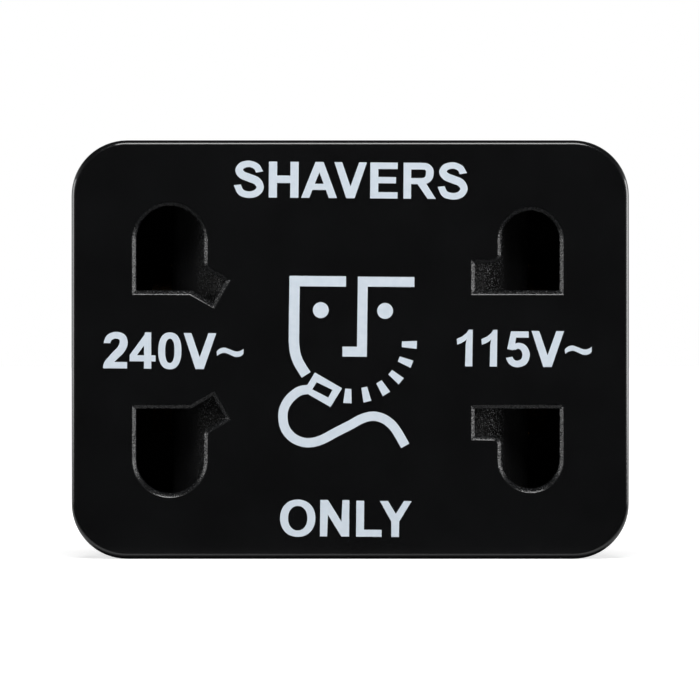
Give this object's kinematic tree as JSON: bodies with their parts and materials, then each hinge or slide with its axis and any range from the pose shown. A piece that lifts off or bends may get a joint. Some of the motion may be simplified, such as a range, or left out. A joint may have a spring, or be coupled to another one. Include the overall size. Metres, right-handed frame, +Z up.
{
  "type": "shaver socket",
  "caption": "Snap-in dual voltage shaver socket module with shuttered round and flat pin apertures, a spring-centred shutter slide and spade tabs behind.",
  "frame": {"origin": "middle of the seating plane at the rear of the flange", "axes": "+X to the right seen from the front, +Y into the wall, +Z up; the face looks along -Y"},
  "size_m": [0.051, 0.0332, 0.0384],
  "materials": {
    "face_plastic": "moulded black, fine satin gloss",
    "shutter_plastic": "moulded black, spark eroded grain",
    "block_plastic": "moulded black",
    "cover_plastic": "moulded dark grey, fine grain",
    "contact_bronze": "rolled phosphor bronze strip",
    "terminal_brass": "stamped brass strip",
    "rivet_brass": "closed rivet, satin",
    "spring_steel": "drawn wire",
    "clip_steel": "rolled spring strip",
    "screw_steel": "zinc plated",
    "print_ink": "pale printed marking"
  },
  "bodies": {
    "housing": {"front_moulding": "face_plastic", "return_spring_left": "spring_steel", "return_spring_right": "spring_steel", "contact_block": "block_plastic", "pin_contact_240": "contact_bronze", "pin_contact_115": "contact_bronze", "pin_contact_common_left": "contact_bronze", "pin_contact_common_right": "contact_bronze", "terminal_240": "terminal_brass", "terminal_115": "terminal_brass", "terminal_common": "terminal_brass", "terminal_rivet_240": "rivet_brass", "terminal_rivet_115": "rivet_brass", "terminal_rivet_common_left": "rivet_brass", "terminal_rivet_common_right": "rivet_brass", "switch_strip_in": "terminal_brass", "switch_strip_out": "terminal_brass", "rear_cover": "cover_plastic", "panel_clip_top": "clip_steel", "panel_clip_bottom": "clip_steel", "cover_screw_1": "screw_steel", "cover_screw_2": "screw_steel", "cover_screw_3": "screw_steel", "cover_screw_4": "screw_steel"},
    "shutter": {"shutter_slide": "shutter_plastic", "switch_bridge": "contact_bronze"}
  },
  "joints": [
    {"name": "shutter_travel", "type": "slide", "parent": "housing", "child": "shutter", "axis": [1, 0, 0], "range_m": [-0.006, 0.006], "stiffness_N_per_m": 200, "deforming": ["return_spring_left", "return_spring_right"]}
  ]
}
